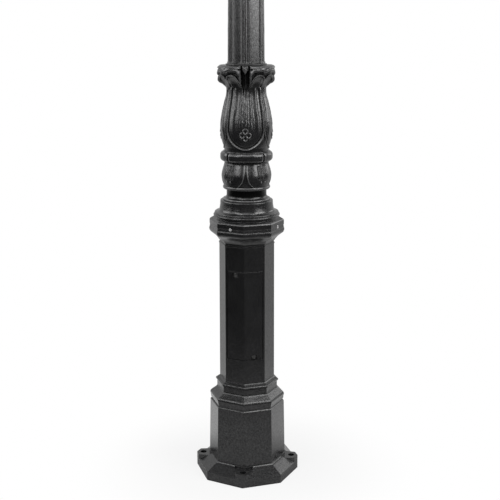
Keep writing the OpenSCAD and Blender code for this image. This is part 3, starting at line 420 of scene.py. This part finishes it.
def ring_piece(name, surface, heights, bore, columns=720):
    """A piece with a carved outside, surface(angle, height), and a plain bore."""
    angles = np.arange(columns) * 360 / columns - CARVING_TURN
    outside = surface(angles[None, :], np.array(heights)[:, None])
    inside = np.full((1, columns), float(bore))
    radii = np.vstack([inside, outside, inside])
    levels = np.concatenate([[heights[0]], heights, [heights[-1]]])
    return grid_piece(name, radii, np.repeat(levels[:, None], columns, axis=1))


def turned_piece(name, outline, bore, columns=288):
    """A piece turned on the post's axis, its outside a list of (radius, height)."""
    outline = np.array(outline)
    radii = np.concatenate([[bore], outline[:, 0], [bore]])
    levels = np.concatenate([[outline[0, 1]], outline[:, 1], [outline[-1, 1]]])
    radii, levels = (np.repeat(row[:, None], columns, axis=1) for row in (radii, levels))
    return grid_piece(name, radii, levels)


def arc(centre, radius, start, end, steps=16):
    """Points of an arc in the plane of radius and height, angles in degrees."""
    turns = np.radians(np.linspace(start, end, steps + 1))
    return [(centre[0] + radius * math.cos(t), centre[1] + radius * math.sin(t)) for t in turns]


def make_vase_foot():
    """Spread foot, hollow neck and the bead ring under the lotus cup."""
    outline = [(NECK_R + 8.2, FOOT_Z), (NECK_R + 9, FOOT_Z + 0.8), (NECK_R + 9, FOOT_Z + 3.4)]
    outline += [(NECK_R + 8.4, FOOT_Z + 4.1)]
    outline += arc((NECK_R + 9, FOOT_Z + 13), 9, 262, 180)
    outline += [(NECK_R, LOTUS_Z - 10), (NECK_R + 0.8, LOTUS_Z - 8.4)]
    outline += arc((BEAD_R - 5, LOTUS_Z - 3), 5, -96, 60, 24)
    outline += [(LOTUS_R - 5.2, LOTUS_Z + 1.6)]
    return turned_piece("vase_foot", outline, VASE_BORE_R)


# The cup's radius past LOTUS_R, by its height as a share, and the places of its veins in degrees
LOTUS_CURVE = [
    (0, -4.4), (0.12, -2.7), (0.22, -1.2), (0.38, 0), (0.5, 0), (0.65, -1.6), (0.8, -3.9), (1, -7)]
LOTUS_VEINS = (32.5, 37, 41.3, 45)


def lotus_surface(angle, z):
    """Lotus cup: plain panels in front, and veined petals with raised edges on the diagonals."""
    u = (z - LOTUS_Z) / (BAND_Z - LOTUS_Z)
    f = np.abs(fold(angle))
    edge = 2.4 + 20 * np.exp(-np.clip(u, 0, 1) / 0.2)
    radius = LOTUS_R + smooth_curve(LOTUS_CURVE, u)
    radius = radius - 1.5 * (1 - ease(edge - 3, edge, f)) * (1 - 0.6 * u)
    radius = radius + 0.9 * ridge(f - edge - 0.8, 1.1) * ease(0.02, 0.1, u)
    tall = ease(0.28, 0.42, u) * (1 - ease(0.9, 0.97, u))
    waver = 0.5 * np.sin(u * 12)
    veins = sum(ridge(f - place - waver, 0.9) for place in LOTUS_VEINS)
    radius = radius + 1.4 * veins * tall - 1.3 * ease(29, 31, f) * tall
    return radius + 1.4 * ridge(f - 39, 1.5) * ridge((u - 0.24) * 55, 1.8)


def make_lotus_cup():
    heights = np.linspace(LOTUS_Z, BAND_Z, 110)
    return ring_piece("lotus_cup", lotus_surface, heights, VASE_BORE_R)


# The band's roll, the plain strip along its edges, and the notches between its segments, in millimetres
BAND_ROLL = 9
BAND_STRIP = 3
NOTCH_HALF = 2.4
NOTCH_DEPTH = 5


def band_outline():
    """The band's height as a share, with its radius: a step, a fat roll and a thin ledge on top."""
    height = TULIP_Z - BAND_Z
    roll = arc((BAND_R - BAND_ROLL, BAND_Z + 0.45 * height), BAND_ROLL, -75, 0, 12)
    roll += arc((BAND_R - BAND_ROLL, BAND_Z + 0.65 * height), BAND_ROLL, 0, 62, 12)
    outline = [(0, LOTUS_R - 5.8), (0.1, LOTUS_R - 5.8)]
    outline += [((z - BAND_Z) / height, radius) for radius, z in roll]
    ledge = TULIP_R - 6.6
    return outline + [(0.925, ledge - 1), (0.94, ledge), (0.975, ledge - 0.2), (1, ledge - 2.8)]


def band_surface(angle, z):
    """Fat band in four segments with round ends, a narrow notch between them on the diagonals."""
    places, values = zip(*band_outline())
    radius = np.interp((z - BAND_Z) / (TULIP_Z - BAND_Z), places, values)
    across = np.abs(np.radians(45 - np.abs(fold(angle)))) * BAND_R
    inside = (z > BAND_Z + BAND_STRIP) & (z < TULIP_Z - BAND_STRIP)
    notch = NOTCH_DEPTH * (1 - ease(NOTCH_HALF - 0.4, NOTCH_HALF + 0.4, across))
    round_end = 1.6 * ridge(across - NOTCH_HALF, 2.2)
    return radius - np.where(inside, np.maximum(notch, round_end), 0.0)


def make_segmented_band():
    heights = np.linspace(BAND_Z, TULIP_Z, 90)
    return ring_piece("segmented_band", band_surface, heights, VASE_BORE_R)


# Radii along the tulip, by its height as a share: its body, the recess over each petal, and the lip
TULIP_CURVE = [
    (0, TULIP_R - 10.5), (0.04, TULIP_R - 9.2), (0.065, TULIP_R - 7), (0.09, TULIP_R - 5),
    (0.137, TULIP_R - 2.2), (0.18, TULIP_R - 0.8), (0.23, TULIP_R - 0.1), (0.27, TULIP_R),
    (0.35, TULIP_R - 1.2), (0.4, TULIP_R - 2.7), (0.45, TULIP_R - 4.6), (0.5, TULIP_R - 6.7),
    (0.55, TULIP_R - 9.1), (0.6, TULIP_NECK_R + 3.1), (0.65, TULIP_NECK_R + 1), (0.7, TULIP_NECK_R),
    (0.76, TULIP_NECK_R)]
RECESS_CURVE = [
    (0.7, TULIP_NECK_R - 2), (0.78, TULIP_NECK_R - 1), (0.84, TULIP_NECK_R + 0.5),
    (0.92, TULIP_NECK_R + 2), (1, TULIP_NECK_R + 2)]
LIP_CURVE = [
    (0.8, TULIP_NECK_R + 6), (0.85, LIP_R - 10), (0.885, LIP_R - 6.5), (0.912, LIP_R - 5),
    (0.928, LIP_R - 4), (0.94, LIP_R - 1.2), (0.956, LIP_R), (0.972, LIP_R - 0.5),
    (0.985, LIP_R - 2.2), (0.995, LIP_R - 4.8), (1, LIP_R - 8)]
# The lip's lower edge: how far it drops, in millimetres, by angle from a petal's middle
LIP_WAVE = [(9, 11), (12, 10), (15, 7), (18, 3.5), (23, 2), (30, 1), (36, 0), (41, 2.5), (45, 4)]
# Rim of a petal's two shells, by angle from the petal's middle: its height as a share, and its radius
SHELL_RIM = [
    (8, 0.77), (12, 0.808), (15, 0.835), (20, 0.872), (27, 0.892), (35, 0.89), (41, 0.868), (45, 0.835)]
SHELL_REACH = [
    (8, LIP_R - 14), (11, LIP_R - 6), (14, LIP_R - 1), (18, LIP_R - 0.3), (38, LIP_R), (42, LIP_R - 2),
    (45, LIP_R - 4.5)]
SHELL_FOOT = 0.715
# Veins of a petal: angle at the belly, height that they start at as a share, and height of the ridge
VEINS = [
    (-16.5, 0.21, 0.7), (-12, 0.12, 0.5), (-7, 0.0, 1.1), (-2.5, 0.18, 0.6),
    (2, 0.06, 0.9), (7.3, 0.0, 1.0), (14.5, 0.0, 1.2), (19, 0.27, 0.5)]
# Grooves down the recess over a petal, by angle from its middle
RECESS_GROOVES = (-6.5, -0.5, 3.5)
# Heights above the tulip's foot where the pace of its rows changes, and the rows of each stretch
TULIP_STAGES = (0, 24, 62, 148, LIP_Z - TULIP_Z)
TULIP_ROWS = (50, 96, 90, 120)
TULIP_COLUMNS = 960

# Quatrefoil on each petal: its height, and its four dished lobes as place across, place up and radius
QUATREFOIL_Z = TULIP_Z + 42
LOBES = [(-8.0, -1.0, 5.6), (8.0, -1.0, 5.6), (0, 8.6, 5.6), (0, -8.4, 5.2)]


def quatrefoil(side, z):
    """Raised flower of four dished lobes, each with a thick rim."""
    across = np.radians(side) * TULIP_R
    up = z - QUATREFOIL_Z
    nearest = np.full(np.broadcast(across, up).shape, 99.0)
    rim = np.zeros(nearest.shape)
    for x, y, radius in LOBES:
        from_middle = np.hypot(across - x, up - y)
        lower_half = 0.5 - 0.5 * (up - y) / np.maximum(from_middle, 0.1)
        nearest = np.minimum(nearest, from_middle - radius)
        rim = np.maximum(rim, (0.12 + 0.88 * lower_half ** 2) * ridge(from_middle - radius, 1.4))
    return 1.7 * rim - 0.9 * (1 - ease(-2.8, -1.4, nearest)) - 0.7 * ridge(nearest - 2.8, 1.3)


# A petal's outline: half its width in degrees, where its foot starts and how high its round part is, as
# shares of the tulip's height, and the two powers that shape the round part
PETAL_HALF = 43
PETAL_FOOT = 0.035
PETAL_ROUND = 0.22
PETAL_BOW = 1.7
PETAL_FLAT = 0.48


def inside_petal(f, u):
    """How far a point lies inside the petal's outline, in millimetres, and below 0 outside it."""
    height = LIP_Z - TULIP_Z
    rise = np.clip((u - PETAL_FOOT) / PETAL_ROUND, 0, 1)
    half = PETAL_HALF * (1 - (1 - rise) ** PETAL_BOW) ** PETAL_FLAT
    share = np.clip(f / PETAL_HALF, 0, 1) ** (1 / PETAL_FLAT)
    foot = PETAL_FOOT + PETAL_ROUND * (1 - (1 - share) ** (1 / PETAL_BOW))
    below = np.maximum(PETAL_FOOT - u, 0) * height
    across = np.radians(half - f) * TULIP_R - 20 * below
    up = (u - foot) * height
    return np.sign(across) * np.abs(across * up) / np.maximum(np.hypot(across, up), 0.01)


def petal_body(f, side, u):
    """Belly and neck: a rim and a groove along each petal's edge, two broad ridges and fine veins.

    Above the belly the ridges run on, and a recess with grooves opens over the petal's middle.
    """
    inside = inside_petal(f, u)
    low = 1 - ease(0.1, 0.22, u)
    high = ease(0.4, 0.5, u)
    radius = smooth_curve(TULIP_CURVE, u) - 0.8 * ease(0, 3.3, inside) * ease(0.03, 0.1, u)
    radius = radius + (1.2 + 1.0 * low) * ridge(inside + 1.1, 1.5) * ease(0.0, 0.03, u)
    radius = radius - 1.7 * ridge(inside - 3.2, 2.0)
    radius = radius - 1.9 * ridge(f - 45, 1.4) * ease(0.12, 0.2, u) * (1 - high)
    radius = radius + 2.4 * ridge(f - 29 + 2 * high, 3.6) * ease(0.14, 0.32, u)
    radius = radius - 2.2 * (1 - ease(5, 11, f)) * ease(0.56, 0.72, u)
    for place in RECESS_GROOVES:
        radius = radius - 1.6 * ridge(side - place, 1.3) * ease(0.54, 0.66, u)
    tall = ease(0.24, 0.34, u) * (1 - ease(0.6, 0.71, u))
    for number, (place, start, height) in enumerate(VEINS):
        waver = 0.5 * np.sin(u * 31 + number * 2.1) + 0.35 * np.sin(u * 67 + number)
        uneven = 0.7 + 0.3 * np.sin(u * 90 + number * 1.7) * np.sin(u * 43 + number)
        reach = ease(start, start + 0.12, u) if start else 1.0
        radius = radius + height * uneven * tall * reach * ridge(side - place * (1 - 0.1 * u) - waver, 0.9)
    return radius


def petal_shell(f, u):
    """A shell that flares out to its rim, the cove above it, and the rolled lip with its waved edge."""
    rim = smooth_curve(SHELL_RIM, f)
    t = np.clip((u - SHELL_FOOT) / (rim - SHELL_FOOT), 0, 1)
    flare = TULIP_NECK_R + (smooth_curve(SHELL_REACH, f) - TULIP_NECK_R) * t ** 2.2
    flare = flare + 0.8 * ridge(u - rim + 0.006, 0.005) - 0.7 * ridge(u - rim + 0.02, 0.008)
    back = ease(rim, rim + 0.008, u)
    drop = smooth_curve(LIP_WAVE, f) * (1 - ease(0.955, 0.975, u))
    lowered = np.minimum(u + drop / (LIP_Z - TULIP_Z), 1.0)
    lip = smooth_curve(LIP_CURVE, lowered)
    lip = lip - 1.2 * ease(14, 22, f) * (1 - ease(38, 43, f)) * (1 - ease(0.918, 0.934, lowered))
    lip = lip - 1.3 * ridge(u - 0.966, 0.005) * ease(12, 15, f) * (1 - ease(30, 38, f))
    return flare * (1 - back) + lip * back - 3.5 * ridge(f - 45, 2.6) * (1 - ease(0.87, 0.9, u))


def petal_recess(f, side, u):
    """The dark recess over a petal's middle, with the bud that hangs in it from the lip."""
    hollow = smooth_curve(RECESS_CURVE, u) - 1.2 * ridge(f - 4.5, 2.5)
    half = 0.1 + 8.5 * ease(0.895, 0.965, u)
    bulge = np.sqrt(np.clip(1 - (f / half) ** 2, 0, 1))
    bud = hollow + (LIP_R - 4 - hollow) * bulge * (1 - 0.35 * ease(0.98, 1.0, u))
    groove = ridge(side + 1 - 225 * (0.985 - u), 1.4) * ease(0.955, 0.962, u) * (1 - ease(0.985, 0.992, u))
    return bud - 1.5 * groove * bulge


def tulip_surface(angle, z):
    """The tulip: four petals, closed into a neck, whose tops open into shells under a rolled lip."""
    u = (z - TULIP_Z) / (LIP_Z - TULIP_Z)
    side = fold(angle)
    f = np.abs(side)
    top = ease(0.72, 0.77, u)
    opening = ease(8.5, 11.5, f)
    crown = petal_shell(f, u) * opening + petal_recess(f, side, u) * (1 - opening)
    body = petal_body(f, side, u) + quatrefoil(side, z)
    return body * (1 - top) + crown * top


def make_tulip():
    stretches = [
        TULIP_Z + np.linspace(low, high, rows, endpoint=high == TULIP_STAGES[-1])
        for low, high, rows in zip(TULIP_STAGES, TULIP_STAGES[1:], TULIP_ROWS)]
    return ring_piece("tulip", tulip_surface, np.concatenate(stretches), VASE_BORE_R, TULIP_COLUMNS)


# Lines along a rib, all fading in places: angle from its middle, ridge height and half width
RIB_LINES = [(-11.6, 0.9, 0.8), (-6.0, 0.5, 0.8), (2.2, 1.0, 1.0), (7.8, 0.5, 0.8), (12.2, 0.4, 0.8)]
# Grooves along a rib, by angle from its middle
RIB_GROOVES = (-8.8, -2.2, 5.2, 9.8)
SHAFT_COLUMNS = 1200
SHAFT_ROWS = 150


def shaft_surface(angle, z):
    """Tapered shaft: low ribs with fine lines along them, and round flutes between."""
    share = (z - LIP_Z) / (SHAFT_TOP - LIP_Z)
    size = 1 + (SHAFT_TOP_R / SHAFT_FOOT_R - 1) * share
    pitch = 360 / RIB_COUNT
    side = (angle + pitch / 2) % pitch - pitch / 2
    off = np.abs(side)
    across = np.clip((off - RIB_HALF) / (pitch / 2 - RIB_HALF), 0, 1)
    flute = FLUTE_DEPTH * (0.55 + 0.45 * np.sin(np.pi / 2 * across))
    depth = RIB_SHOULDER * ease(9, 12, off) + (flute - RIB_SHOULDER) * ease(12, 15, off)
    for number, (place, height, width) in enumerate(RIB_LINES):
        uneven = 0.75 + 0.25 * np.sin(z / 9.0 + number * 2.3) * np.sin(z / 23.0 + number)
        depth = depth - height * uneven * ridge(side - place, width)
    for place in RIB_GROOVES:
        depth = depth + 0.8 * ridge(side - place, 1.1)
    return (SHAFT_FOOT_R - RIB_SINK - depth) * size


def make_shaft():
    """The shaft above the lip, its foot ring, and the plain spigot that sits in the vase."""
    heights = np.linspace(LIP_Z + 2, SHAFT_TOP, SHAFT_ROWS)
    angles = np.arange(SHAFT_COLUMNS) * 360 / SHAFT_COLUMNS - CARVING_TURN
    outside = np.minimum(shaft_surface(angles[None, :], heights[:, None]), SHAFT_FOOT_R)
    bottom = LIP_Z - SHAFT_SOCKET
    ends = [(SHAFT_BORE_FOOT_R, bottom), (SHAFT_FOOT_R, bottom), (SHAFT_FOOT_R, LIP_Z)]
    lower = [np.full((1, SHAFT_COLUMNS), float(radius)) for radius, _ in ends]
    bore_top = np.full((1, SHAFT_COLUMNS), float(SHAFT_BORE_TOP_R))
    radii = np.vstack(lower + [outside, bore_top])
    levels = np.concatenate([[z for _, z in ends], heights, [SHAFT_TOP]])
    levels = np.repeat(levels[:, None], SHAFT_COLUMNS, axis=1)
    shaft = grid_piece("shaft_flutes", radii, levels, len(ends))
    ring = [(SHAFT_FOOT_R + 1.9, LIP_Z), (SHAFT_FOOT_R + 2.5, LIP_Z + 0.6)]
    ring += arc((SHAFT_FOOT_R + 2.5, LIP_Z + 7), 4, 270, 190, 10)
    ring += [(SHAFT_FOOT_R - 0.4, LIP_Z + 7)]
    return shaft, turned_piece("shaft_foot_ring", ring, SHAFT_FOOT_R - 6)


vase_pieces = [make_vase_foot(), make_lotus_cup(), make_segmented_band(), make_tulip()]
for vase_piece in vase_pieces:
    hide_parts("vase_casting")
for shaft_piece in make_shaft():
    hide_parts("fluted_shaft")


# Stage, light and camera. Distances on the stage are in metres, from the post's axis.

FLOOR_R = 1.1
# How much of the floor the camera sees as plain white, near the post and away from it
FLOOR_WHITE = (0.84, 1.0)
FLOOR_WHITE_REACH = (0.14, 0.42 * FLOOR_R)
# The matt floor's colour, and what the paint's reflections show of it, near the post and away from it
FLOOR_COLOUR = 0.6
FLOOR_IN_PAINT = (0.42, 0.08)
FLOOR_IN_PAINT_REACH = (0.45, 0.9)
# White that the paint's reflections show on the floor behind the post: the depths over which it sets in,
# and its share by distance
BEHIND_REACH = (-0.1, 0.15)
WHITE_BEHIND = [(0.14, 0.1), (0.32, 1.0), (0.5, 1.0), (0.75, 0.55)]


def white_by_distance(tree, distance):
    """The share of white on the floor behind the post, eased between its given distances."""
    made = tree.nodes.new("ShaderNodeValToRGB")
    ramp = made.color_ramp
    ramp.interpolation = "EASE"
    for place, share in WHITE_BEHIND:
        ramp.elements.new(place).color = (share, share, share, 1.0)
    ramp.elements.remove(ramp.elements[0])
    ramp.elements.remove(ramp.elements[-1])
    tree.links.new(distance, made.inputs["Fac"])
    return made.outputs["Color"]


def floor_material():
    """Matt floor that keeps the shadow, and white for the camera and behind the post in reflections."""
    material = bpy.data.materials.new("pale_floor")
    material.use_nodes = True
    tree = material.node_tree
    nodes = tree.nodes
    links = tree.links
    matt = nodes["Principled BSDF"]
    matt.inputs["Roughness"].default_value = 0.9
    matt.inputs["Specular IOR Level"].default_value = 0.1
    white = nodes.new("ShaderNodeEmission")
    white.inputs["Strength"].default_value = 1.0
    path = nodes.new("ShaderNodeLightPath")
    place = nodes.new("ShaderNodeTexCoord")
    axes = nodes.new("ShaderNodeSeparateXYZ")
    links.new(place.outputs["Object"], axes.inputs[0])
    length = nodes.new("ShaderNodeVectorMath")
    length.operation = "LENGTH"
    links.new(place.outputs["Object"], length.inputs[0])
    distance = length.outputs["Value"]
    in_paint = ranged(tree, distance, FLOOR_IN_PAINT_REACH, FLOOR_IN_PAINT, smooth=True)
    colour = either(tree, path.outputs["Is Glossy Ray"], FLOOR_COLOUR, in_paint)
    links.new(colour, matt.inputs["Base Color"])
    behind = ranged(tree, axes.outputs["Y"], BEHIND_REACH, (0.0, 1.0))
    behind = product(tree, behind, white_by_distance(tree, distance))
    share = nodes.new("ShaderNodeMath")
    share.operation = "MULTIPLY_ADD"
    links.new(path.outputs["Is Camera Ray"], share.inputs[0])
    links.new(ranged(tree, distance, FLOOR_WHITE_REACH, FLOOR_WHITE, smooth=True), share.inputs[1])
    links.new(product(tree, path.outputs["Is Glossy Ray"], behind), share.inputs[2])
    mix = nodes.new("ShaderNodeMixShader")
    links.new(share.outputs[0], mix.inputs[0])
    links.new(matt.outputs[0], mix.inputs[1])
    links.new(white.outputs[0], mix.inputs[2])
    links.new(mix.outputs[0], nodes["Material Output"].inputs["Surface"])
    return material


def make_stage():
    """A pale round floor that keeps the post's shadow, and fades to plain white away from it."""
    mesh = bpy.data.meshes.new("floor")
    build = bmesh.new()
    bmesh.ops.create_circle(build, cap_ends=True, segments=96, radius=FLOOR_R)
    build.to_mesh(mesh)
    build.free()
    floor = bpy.data.objects.new("floor", mesh)
    bpy.context.scene.collection.objects.link(floor)
    mesh.materials.append(floor_material())


# Light of the studio's walls: what the paint's diffuse part gets, and what shows in reflections, over the
# part of the view's direction where each runs into the next
ROOM_LIGHT = 0.2
FRONT_GLOW = (0.03, 0.1)
FRONT_GLOW_REACH = (-0.6, 0.6)
BACK_GLOW = 0.6
BACK_GLOW_REACH = (-0.05, 0.55)


def make_world():
    """White behind the post for the camera and through glass, and a dim studio in reflections."""
    world = bpy.data.worlds.new("studio")
    bpy.context.scene.world = world
    world.use_nodes = True
    tree = world.node_tree
    nodes = tree.nodes
    background = nodes["Background"]
    background.inputs["Color"].default_value = (1.0, 1.0, 1.0, 1.0)
    path = nodes.new("ShaderNodeLightPath").outputs
    place = nodes.new("ShaderNodeTexCoord")
    axes = nodes.new("ShaderNodeSeparateXYZ")
    tree.links.new(place.outputs["Generated"], axes.inputs[0])
    front = ranged(tree, axes.outputs["X"], FRONT_GLOW_REACH, FRONT_GLOW)
    studio = ranged(tree, axes.outputs["Y"], BACK_GLOW_REACH, (front, BACK_GLOW), smooth=True)
    strength = either(tree, path["Is Glossy Ray"], ROOM_LIGHT, studio)
    strength = either(tree, path["Is Camera Ray"], strength, 1.0)
    strength = either(tree, path["Is Transmission Ray"], strength, 1.0)
    tree.links.new(strength, background.inputs["Strength"])


# Softboxes round the post: azimuth, heights of the lower and the upper edge, distance, width, and glow in
# units of white. All of them face one point on the post's axis.
LAMPS = {
    "left_softbox": (-41, 1.32, 2.9, 2.4, 1.2, 2.9),
    "right_softbox": (67, 1.1, 2.9, 2.4, 2.1, 4.1),
    "front_fill": (6, 1.6, 3.1, 2.6, 1.6, 1.2),
    "left_top": (-32, 2.6, 3.2, 1.3, 0.7, 3.4),
    "right_top": (58, 2.6, 3.2, 1.3, 0.7, 2.6),
    "left_side": (-88, 0.9, 2.7, 2.4, 2.1, 2.3),
    "right_rim": (132, 0.9, 1.8, 2.4, 1.0, 1.4),
}
LAMP_AIM = Vector((0, 0, 0.95))
# The light overhead: how far in front of the post and how high it hangs, its size, and its glow
CEILING_FORWARD = 1.53
CEILING_HEIGHT = 2.9
CEILING_SIZE = (3.0, 1.8)
CEILING_GLOW = 1.1


def make_softbox(name, size, glow, place):
    """A rectangular lamp that the camera doesn't see, facing down."""
    data = bpy.data.lights.new(name, "AREA")
    data.shape = "RECTANGLE"
    data.size, data.size_y = size
    data.energy = glow * math.pi * data.size * data.size_y
    lamp = bpy.data.objects.new(name, data)
    lamp.location = place
    lamp.visible_camera = False
    bpy.context.scene.collection.objects.link(lamp)
    return lamp


def make_lamp(name, azimuth, low, high, distance, width, glow):
    """A softbox at an azimuth round the post, from one height to another, turned to LAMP_AIM."""
    middle = around(distance, azimuth, (low + high) / 2)
    slant = (middle - LAMP_AIM).normalized()
    height = (high - low) / math.hypot(slant.x, slant.y)
    lamp = make_softbox(name, (width, height), glow, middle)
    lamp.rotation_euler = (LAMP_AIM - middle).to_track_quat("-Z", "Y").to_euler()


def make_camera():
    """The camera at the photograph's place, height, tilt and field of view."""
    data = bpy.data.cameras.new("camera")
    data.lens = CAMERA_LENS
    data.sensor_width = 36.0
    data.shift_x = CAMERA_SHIFT
    camera = bpy.data.objects.new("camera", data)
    camera.location = around(CAMERA_DISTANCE, CAMERA_AZIMUTH, CAMERA_HEIGHT)
    turn = Matrix.Rotation(math.radians(CAMERA_AZIMUTH), 3, "Z")
    tilt = Matrix.Rotation(math.radians(90 - CAMERA_TILT), 3, "X")
    roll = Matrix.Rotation(math.radians(CAMERA_ROLL), 3, "Z")
    camera.rotation_euler = (turn @ tilt @ roll).to_euler()
    bpy.context.scene.collection.objects.link(camera)
    bpy.context.scene.camera = camera


make_stage()
make_world()
for lamp_name, lamp_values in LAMPS.items():
    make_lamp(lamp_name, *lamp_values)
make_softbox("ceiling", CEILING_SIZE, CEILING_GLOW, (0, -CEILING_FORWARD, CEILING_HEIGHT))
make_camera()
bpy.context.scene.view_settings.view_transform = "Standard"
